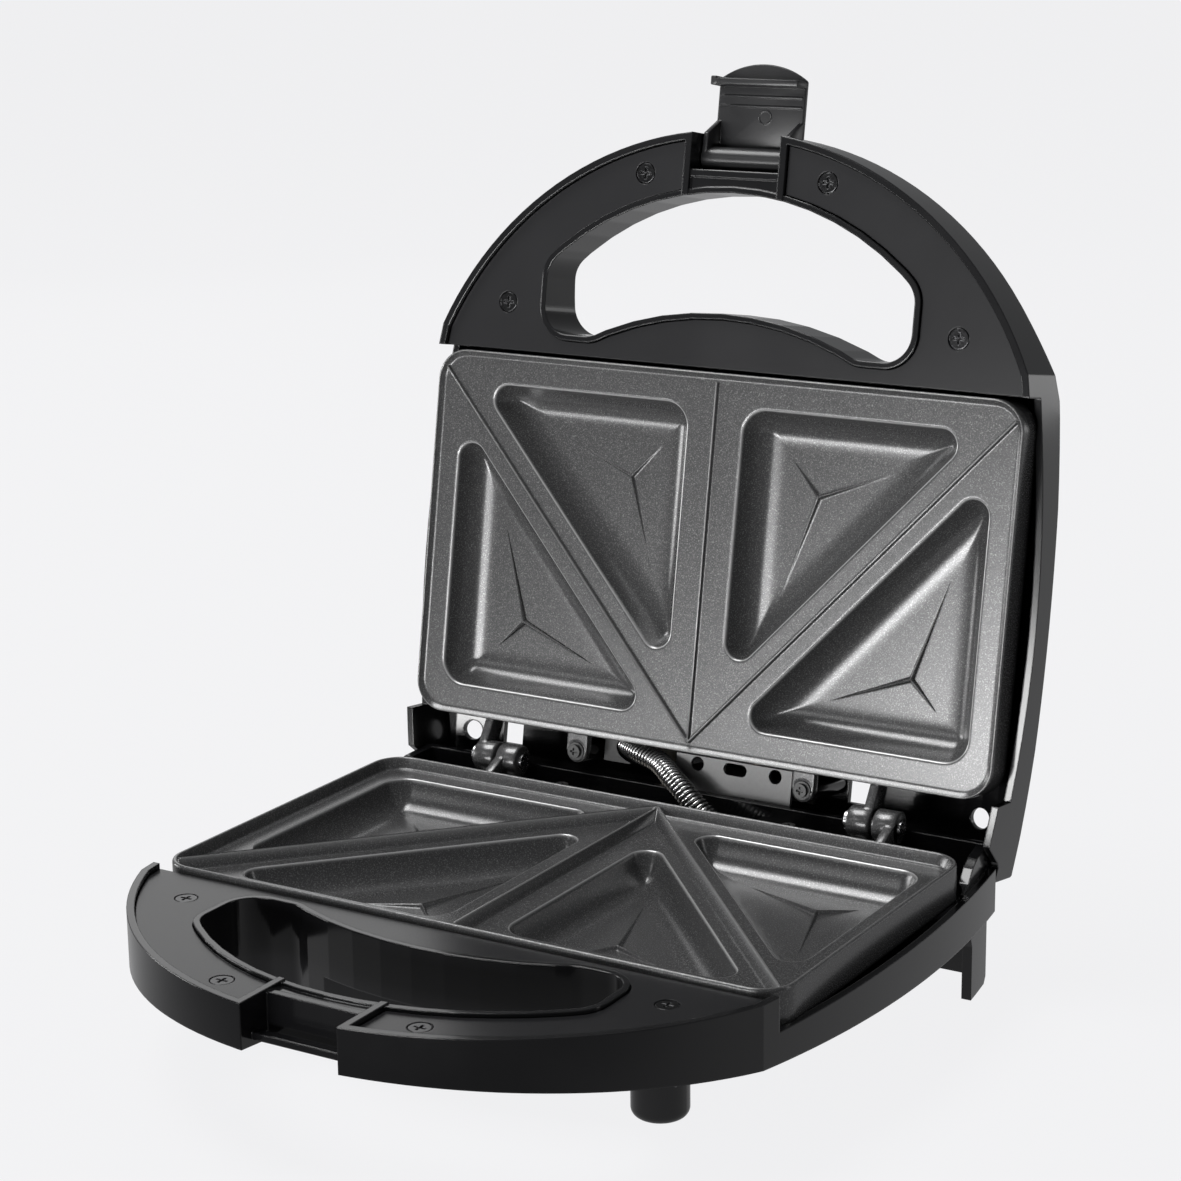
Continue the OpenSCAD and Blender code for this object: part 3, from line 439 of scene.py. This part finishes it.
def lay_ridges(bm, highlight_layer, plate):
    """The ridges stand on the field, up to nearly the rim's height, with a painted highlight along their
    crests.
    """
    for start, end in (RIGHT_RIDGE, LEFT_RIDGE, CENTRE_RIDGE):
        along = (end - start).normalized()
        across = Vector((-along.y, along.x))
        made = bmesh.ops.create_cube(bm, size=1.0)["verts"]
        for v in made:
            high = v.co.z > 0
            half = plate.ridge * (plate.crest if high else plate.foot)
            p = (end if v.co.x > 0 else start) + across * (half if v.co.y > 0 else -half)
            v[highlight_layer] = 0.7 if high else 0.0
            v.co = (p.x, p.y, plate.ridge_top if high else -plate.rim - LIP)
        middle = (plate.ridge_top - plate.rim) / 2
        crest = {e for v in made for e in v.link_edges if all(w.co.z > middle for w in e.verts)}
        round_edges(bm, crest, plate.ridge * CREST_ROUNDING)


def cast_fins(bm, plate):
    """A low three-armed fin on each pocket's floor, whose tips run out on the wall."""
    edge = -plate.rim - LIP
    floor = edge - POCKET_DEPTH
    for (centre, tips), inner in ((INNER_FIN, True), (OUTER_FIN, False)):
        sides = sides_of(triangle(inner))
        for side in (1, -1):
            peak = Vector((centre[0] * side, centre[1], floor + FIN_HEIGHT))
            turned = [Vector((x * side, y)) for x, y in tips]
            turned.sort(key=lambda tip: math.atan2(tip.y - peak.y, tip.x - peak.x))
            arms = [(tip - peak.xy).normalized() for tip in turned]
            points = []
            for tip, arm, after in zip(turned, arms, arms[1:] + arms[:1]):
                inset = min((Vector((tip.x * side, tip.y)) - a).dot(n) for a, n in sides)
                points.append((tip.x, tip.y, edge - wall_drop(inset) + 0.04))
                between = arm + after
                if between.length < OPPOSITE:
                    between = Vector((-arm.y, arm.x))
                foot = peak.xy + between.normalized() * FIN_HALF
                points.append((foot.x, foot.y, floor - 0.05))
            apex = bm.verts.new(peak)
            ring = [bm.verts.new(p) for p in points]
            for i in range(len(ring)):
                bm.faces.new((apex, ring[i - 1], ring[i]))


def cast_tabs(bm, plate):
    """Two round-ended tabs at the back, for the plate's screws."""
    radius, thick = TAB_SIZE[0] / 2, TAB_SIZE[2]
    z = -plate.tab_drop - thick / 2
    for side in (1, -1):
        made = bmesh.ops.create_cube(bm, size=1.0)["verts"]
        bmesh.ops.scale(bm, vec=TAB_SIZE, verts=made)
        bmesh.ops.translate(bm, vec=(TAB_X * side, TAB_Y, z), verts=made)
        made = bmesh.ops.create_cone(bm, cap_ends=True, segments=40, radius1=radius, radius2=radius,
                                     depth=thick)["verts"]
        bmesh.ops.translate(bm, vec=(TAB_X * side, TAB_END_Y, z), verts=made)
        flat = {e for v in made for e in v.link_edges if abs(e.verts[0].co.z - e.verts[1].co.z) < thick / 2}
        round_edges(bm, flat, TAB_ROUNDING)


def cast_knuckles(bm, plate):
    """A hinge knuckle at each side, on a short tapered arm."""
    for x in plate.knuckles:
        arm_x = x + ARM_SHIFT if x > 0 else x
        made = bmesh.ops.create_cube(bm, size=1.0)["verts"]
        for v in made:
            back, high = v.co.y > 0, v.co.z > 0
            v.co = (arm_x + (ARM_W if v.co.x > 0 else 0), ARM_Y[back], ARM_Z[back][high])
        round_edges(bm, {e for v in made for e in v.link_edges}, ARM_ROUNDING)
        section = [(x + along, HINGE_Y, SEAM_GAP + radius) for radius, along in KNUCKLE]
        full_turn(bm, section, (x, HINGE_Y, SEAM_GAP), (1, 0, 0), 40)


def cooking_plate(name, body, replaced, plate, place):
    bm = bmesh.new()
    highlight_layer = bm.verts.layers.float.new("painted_edge_highlight")
    draw_field(bm, highlight_layer, plate)
    raise_rim(bm, highlight_layer, plate)
    lay_ridges(bm, highlight_layer, plate)
    cast_fins(bm, plate)
    cast_tabs(bm, plate)
    cast_knuckles(bm, plate)
    finish_piece(bm, name, place, nonstick, body, replaced, smooth=38)


upside_down = Matrix.Diagonal((1, 1, -1, 1))
cooking_plate("base_cooking_plate", "base", "base_plate", BASE_PLATE,
              base_place @ Matrix.Translation((0, 0, -SEAM_GAP)))
cooking_plate("lid_cooking_plate", "lid", "lid_plate", LID_PLATE,
              lid_place @ Matrix.Translation((0, 0, SEAM_GAP)) @ upside_down)

# heating and wiring
# A tubular element is clamped under each plate, over a bright reflector sheet. Thermostat, fuse, terminal
# strip and earth tag are screwed into the base, and the wires between them are sleeved in woven glass.


def plain(name, colour, rough, metal=0.0, scale=700, depth=0.00003):
    f = Finish(name)
    grain = f.noise(scale, detail=3, roughness=0.6)
    darker = [c * 0.75 for c in colour]
    return f.surface({"Base Color": f.blend(grain, darker, colour), "Metallic": metal,
                      "Roughness": rough + grain * 0.15},
                     edge=0.0002, height=grain, distance=depth)


tinted_sheath = plain("heat_tinted_sheath", (0.24, 0.20, 0.17), 0.3, metal=1.0)
steatite = plain("steatite", (0.62, 0.58, 0.50), 0.55)
rolled_sheet = plain("rolled_aluminium", (0.72, 0.72, 0.73), 0.28, metal=1.0, scale=300)
fuse_brass = plain("brass_fitting", (0.60, 0.45, 0.20), 0.3, metal=1.0)
glass_sleeve = plain("glass_sleeve", (0.62, 0.60, 0.55), 0.7, scale=1800, depth=0.0001)
grey_casting = plain("grey_casting", (0.17, 0.17, 0.17), 0.35, metal=0.8, scale=900, depth=0.00006)
coat(tinted_sheath, "base_element", "lid_element")
coat(steatite, "base_element_terminals", "lid_element_terminals", "thermostat", "terminal_block")
coat(rolled_sheet, "base_reflector", "lid_reflector")
coat(fuse_brass, "thermal_fuse", "earth_tag")
coat(glass_sleeve, "base_wires", "lid_wires")
coat(grey_casting, "lid_terminal_bracket")

# the sheathed harness
# The wires to the lid run in a close-wound sheath of bright spring steel, over a woven black sleeve. In the
# real thing it is clamped at both ends and bends as the lid turns; here it is drawn in one fixed curve, tied
# to neither half.

ROUTE = [(34, 9, -15), (24, 9, -12.5), (14, 9.5, -8.5), (7, 10, -3.8), (1.5, 11.5, 0), (-5.2, 15, 3),
         (-13, 20.5, 5.2), (-22.5, 24.8, 6), (-33, 32, 5.5)]
ROUTE_STEPS = 24
COIL_R = 3.4
COIL_PITCH = 1.6
COIL_STEPS = 14
WIRE_R = 0.56
WIRE_SIDES = 6
SLEEVE_R = 2.8
SLEEVE_SIDES = 16


def smooth_route():
    """The route's points with a smooth curve drawn through them."""
    points = [Vector(p) for p in ROUTE]
    found = []
    for i in range(len(points) - 1):
        a, b = points[max(i - 1, 0)], points[i]
        c, d = points[i + 1], points[min(i + 2, len(points) - 1)]
        for k in range(ROUTE_STEPS):
            t = k / ROUTE_STEPS
            found.append(0.5 * (2 * b + (c - a) * t + (2 * a - 5 * b + 4 * c - d) * t * t
                                + (3 * b - a - 3 * c + d) * t * t * t))
    return found + [points[-1]]


def square_to(along):
    """Two directions square to a third one and to each other."""
    side = along.cross(Vector((0, 0, 1))).normalized()
    return side, side.cross(along)


def circle(centre, a, b, radius, count):
    turns = [2 * math.pi * j / count for j in range(count)]
    return [centre + (a * math.cos(turn) + b * math.sin(turn)) * radius for turn in turns]


def coil_rings(path):
    """Circles along the wire of the spring, which winds round the path."""
    lengths = [0.0]
    for a, b in zip(path, path[1:]):
        lengths.append(lengths[-1] + (b - a).length)
    k = 0
    for i in range(int(lengths[-1] / COIL_PITCH) * COIL_STEPS + 1):
        run = i / COIL_STEPS * COIL_PITCH
        while k < len(path) - 2 and lengths[k + 1] < run:
            k += 1
        centre = path[k].lerp(path[k + 1], (run - lengths[k]) / (lengths[k + 1] - lengths[k]))
        along = (path[min(k + 2, len(path) - 1)] - path[max(k - 1, 0)]).normalized()
        side, up = square_to(along)
        turn = 2 * math.pi * i / COIL_STEPS
        out = side * math.cos(turn) + up * math.sin(turn)
        yield circle(centre + out * COIL_R, out, along, WIRE_R, WIRE_SIDES)


def sleeve_rings(path):
    for i in range(0, len(path), 2):
        along = (path[min(i + 1, len(path) - 1)] - path[max(i - 1, 0)]).normalized()
        yield circle(path[i], *square_to(along), SLEEVE_R, SLEEVE_SIDES)


def tube(rings):
    """Joins rings of points into a tube with closed ends."""
    bm = bmesh.new()
    last = None
    for points in rings:
        ring = [bm.verts.new(p) for p in points]
        if last is None:
            bm.faces.new(ring)
        else:
            for j in range(len(ring)):
                bm.faces.new((last[j - 1], last[j], ring[j], ring[j - 1]))
        last = ring
    bm.faces.new(last)
    return bm


spring_wire = steel("spring_wire", (0.66, 0.66, 0.66), rough=0.16, scuff=0.35)
sleeve_black = plain("woven_black_sleeve", (0.010, 0.010, 0.010), 0.75, scale=1500, depth=0.0002)
path = smooth_route()
spring = finish_piece(tube(coil_rings(path)), "spring_sheath", base_place, spring_wire,
                      replaced="harness_sheath", smooth=80)
sleeve = finish_piece(tube(sleeve_rings(path)), "wire_sleeve", base_place, sleeve_black)
for piece in (spring, sleeve):
    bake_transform(piece)

# the latch
# A satin black moulded flap on a steel pin in the lid's nose. Its hooked rib snaps under the bar in the
# base's notch. The tip is domed, and ribs stiffen its inside.

f = Finish("latch_moulding")
grain = f.noise(scale=1500, detail=3, roughness=0.6)
flow = f.noise(scale=60, detail=4, roughness=0.6)
latch_black = f.surface({"Base Color": f.blend(flow, (0.009, 0.009, 0.0096), (0.019, 0.019, 0.020)),
                         "Roughness": 0.20 + grain * 0.05 + flow * 0.16, "Specular IOR Level": 0.32},
                        edge=0.0004, height=grain * 0.4 + flow * 0.8, distance=0.00004)

# the pin's place in the lid's drawing, and lengths from the pin, with the flap reaching to y below 0
LATCH_PIVOT = (0, -198.0, 11.0)
FLAP_HALF = 16.2
FLAP_LOW = 5.0
FLAP_TOP = 7.2
FLAP_BACK = -1.5
FLAP_TIP = -32.0
FLAP_ROUNDING = 0.55
DOME_HEIGHT = 5.2
DOME_STEPS = 12
HOOK_Y = (-26.6, -24.4)
HOOK_Z = -1.4
FINE_RIBS_Y = (-21.6, -18.4)
FINE_RIB_W = 0.8
WEB_W = 1.8
WEB = [(-13.2, FLAP_LOW + 0.4), (-8.2, -3.2), (-0.6, -3.6), (-0.6, FLAP_LOW + 0.4)]
BARREL_R = 3.85
BARREL_SEGMENTS = 48
# the moulded flats along the barrel, in degrees round it, and how far in they lie
BARREL_FLATS = ((150, 172), (196, 214))
FLAT_DEPTH = 0.88
MARK_PLACE = (2.0, -14.5)
MARK_STEPS = 32
# the mark's section, as radius and height above the flap's inside
MARK = [(2.0, -0.1), (2.1, 0.14), (2.35, 0.14), (2.45, -0.1)]


def rounded_block(bm, low, high, radius):
    """A block between two corners with all its edges rounded."""
    made = bmesh.ops.create_cube(bm, size=1.0)["verts"]
    bmesh.ops.scale(bm, vec=[b - a for a, b in zip(low, high)], verts=made)
    bmesh.ops.translate(bm, vec=[(a + b) / 2 for a, b in zip(low, high)], verts=made)
    round_edges(bm, {e for v in made for e in v.link_edges}, radius)


def draw_out(bm, face, vec):
    """Draws a face out into a solid and gives all its vertices."""
    grown = new_verts(bmesh.ops.extrude_face_region(bm, geom=[face])["geom"])
    bmesh.ops.translate(bm, vec=vec, verts=grown)
    return list(face.verts) + grown


def solid_from(bm, outline, vec, radius):
    """A closed outline of points drawn out along vec, with all its edges rounded."""
    face = bm.faces.new([bm.verts.new(p) for p in outline])
    verts = draw_out(bm, face, vec)
    bmesh.ops.bevel(bm, geom=list({e for v in verts for e in v.link_edges}), offset=radius, segments=2,
                    profile=0.5, affect="EDGES", clamp_overlap=True, material=-1)


bm = bmesh.new()
dome_r = (FLAP_HALF ** 2 + DOME_HEIGHT ** 2) / (2 * DOME_HEIGHT)
sweep = math.asin(FLAP_HALF / dome_r)
angles = [sweep * (k / DOME_STEPS - 1) for k in range(2 * DOME_STEPS + 1)]
dome = [(dome_r * math.sin(a), FLAP_TIP + dome_r - dome_r * math.cos(a), FLAP_LOW) for a in angles]
solid_from(bm, dome + [(FLAP_HALF, FLAP_BACK, FLAP_LOW), (-FLAP_HALF, FLAP_BACK, FLAP_LOW)],
           (0, 0, FLAP_TOP - FLAP_LOW), FLAP_ROUNDING)

# the hook with its end block, and the two fine ribs behind it
rounded_block(bm, (-FLAP_HALF, HOOK_Y[0], HOOK_Z), (FLAP_HALF, HOOK_Y[1], FLAP_LOW + 0.6), 0.45)
rounded_block(bm, (-FLAP_HALF, HOOK_Y[0] - 0.6, HOOK_Z - 0.1),
              (-FLAP_HALF + 2.2, HOOK_Y[1] + 0.2, FLAP_LOW + 0.6), 0.4)
for y in FINE_RIBS_Y:
    rounded_block(bm, (-FLAP_HALF + 0.8, y, FLAP_LOW - 0.3),
                  (FLAP_HALF - 0.8, y + FINE_RIB_W, FLAP_LOW + 0.4), 0.2)

# a triangular web at each side of the flap
for x in (-FLAP_HALF, FLAP_HALF - WEB_W):
    solid_from(bm, [(x, y, z) for y, z in WEB], (WEB_W, 0, 0), 0.3)

# the barrel round the pin, and the wall from it up to the flap
ring = bmesh.ops.create_circle(bm, cap_ends=True, radius=BARREL_R, segments=BARREL_SEGMENTS)["verts"]
for v in ring:
    turn = math.degrees(math.atan2(v.co.y, v.co.x)) % 360
    if any(start < turn < end for start, end in BARREL_FLATS):
        v.co *= FLAT_DEPTH
bmesh.ops.rotate(bm, cent=(0, 0, 0), matrix=Matrix.Rotation(math.radians(90), 3, "Y"), verts=ring)
bmesh.ops.translate(bm, vec=(-FLAP_HALF, 0, 0), verts=ring)
face = next(f for f in ring[0].link_faces if len(f.verts) == len(ring))
draw_out(bm, face, (2 * FLAP_HALF, 0, 0))
rounded_block(bm, (-FLAP_HALF, -3.9, 0), (FLAP_HALF, FLAP_BACK, FLAP_TOP), 0.5)

# the round mark that an ejector pin leaves
mark_x, mark_y = MARK_PLACE
full_turn(bm, [(mark_x + radius, mark_y, FLAP_LOW - up) for radius, up in MARK], (mark_x, mark_y, 0),
          (0, 0, 1), MARK_STEPS)
finish_piece(bm, "latch_flap", lid_place @ Matrix.Translation(LATCH_PIVOT), latch_black,
             body="latch", replaced="latch")

# indicator lenses and lamps
# Two clear moulded lenses stand in the lid's outside, one red for power and one green for ready, each over
# a small filament lamp in its holder.


def lens_glass(name, colour):
    f = Finish(name)
    swirl = f.noise(scale=160)
    thicker = [c * 0.8 for c in colour]
    return f.surface({"Base Color": f.blend(swirl, thicker, colour), "Roughness": 0.06 + swirl * 0.05,
                      "Transmission Weight": 0.35, "IOR": 1.49}, edge=0.0004)


coat(lens_glass("red_lens", (0.50, 0.02, 0.015)), "power_lens")
coat(lens_glass("green_lens", (0.02, 0.36, 0.07)), "ready_lens")
coat(lens_glass("lamp_glass", (0.95, 0.62, 0.35)), "indicator_lamps")

# floor, light and camera
# A plain pale floor and backdrop under soft studio light. To the camera the floor is evenly pale, while its
# own light is dimmer in front of the object than behind it, which keeps the black plastic dark.

FLOOR_HALF = 14

bm = bmesh.new()
bmesh.ops.create_grid(bm, x_segments=1, y_segments=1, size=FLOOR_HALF)
floor_mesh = bpy.data.meshes.new("floor")
bm.to_mesh(floor_mesh)
bm.free()
floor = bpy.data.objects.new("floor", floor_mesh)
bpy.context.scene.collection.objects.link(floor)
pale = Finish("pale_floor")
shade = pale.node("BsdfDiffuse", sockets={"Color": (0.03, 0.03, 0.03)})
seen = pale.node("LightPath", out="Is Camera Ray")
depth = pale.node("SeparateXYZ", sockets={"Vector": pale.place}, out="Y")
behind = pale.node("MapRange", {"interpolation_type": "SMOOTHSTEP"},
                   {"Value": depth, "From Min": -0.22, "From Max": -0.05, "To Min": 0.10, "To Max": 0.42},
                   out="Result")
glow = pale.node("Emission", sockets={"Color": (0.985, 0.985, 1.0),
                                      "Strength": behind * (1 - seen) + seen * 0.87})
both = pale.node("AddShader", sockets={0: shade, 1: glow})
pale.node("OutputMaterial", sockets={"Surface": both})
floor_mesh.materials.append(pale.material)

world = bpy.data.worlds.new("studio")
bpy.context.scene.world = world
world.use_nodes = True
sky = world.node_tree.nodes["Background"]
sky.inputs["Color"].default_value = (0.93, 0.94, 0.96, 1)
ray = world.node_tree.nodes.new("ShaderNodeLightPath")
connect(world.node_tree, sky.inputs["Strength"], 0.22 + Tap(ray.outputs["Is Camera Ray"]) * 0.70)
bpy.context.scene.view_settings.view_transform = "Standard"


def soft_light(name, where, target, size, power):
    lamp = bpy.data.lights.new(name, "AREA")
    lamp.shape = "RECTANGLE"
    lamp.size, lamp.size_y = size
    lamp.energy = power
    holder = bpy.data.objects.new(name, lamp)
    bpy.context.scene.collection.objects.link(holder)
    holder.location = where
    holder.rotation_euler = (Vector(target) - Vector(where)).to_track_quat("-Z", "Y").to_euler()


soft_light("front_table_box", (-0.22, -1.20, 0.03), (-0.22, -1.165, 1.03), size=(0.84, 1.40), power=56)
soft_light("front_panel", (-0.20, -1.92, 0.13), (-0.20, 0.0, 0.13), size=(1.10, 0.22), power=18)
soft_light("back_right_box", (1.05, 1.8, 0.16), (0, 0, 0.2), size=(0.8, 0.3), power=0.8)
soft_light("overhead_box", (-0.75, -0.1, 1.9), (0, 0, 0.1), size=(1.1, 0.9), power=38)
soft_light("back_left_box", (-1.05, 1.1, 0.62), (0, 0, 0.1), size=(1.0, 0.8), power=2.8)
soft_light("left_side_box", (-1.5, -0.35, 0.22), (0, 0, 0.15), size=(0.7, 0.35), power=8)
soft_light("right_strip", (1.9, 0.6, 0.5), (0, 0, 0.15), size=(0.3, 1.0), power=2.5)
soft_light("front_high_box", (-0.92, -1.55, 1.15), (0, 0, 0.1), size=(0.6, 0.5), power=2.0)

# the camera stands where the plates' corners in the photograph place it, turned a little about its own axis
CAMERA_ROLL = math.radians(-0.75)

camera = bpy.data.cameras.new("camera")
viewer = bpy.data.objects.new("camera", camera)
bpy.context.scene.collection.objects.link(viewer)
bpy.context.scene.camera = viewer
camera.sensor_width = 36
camera.lens = 87.65
camera.clip_start = 0.05
camera.clip_end = 60
stand_at = Vector((0.4525, (-784.9 + MID) / 1000, 0.358))
look_at = Vector((-0.16465, (225.13 + MID) / 1000, 0.050))
viewer.location = stand_at
viewer.rotation_mode = "QUATERNION"
aim = (look_at - stand_at).to_track_quat("-Z", "Y")
viewer.rotation_quaternion = aim @ Matrix.Rotation(CAMERA_ROLL, 3, "Z").to_quaternion()
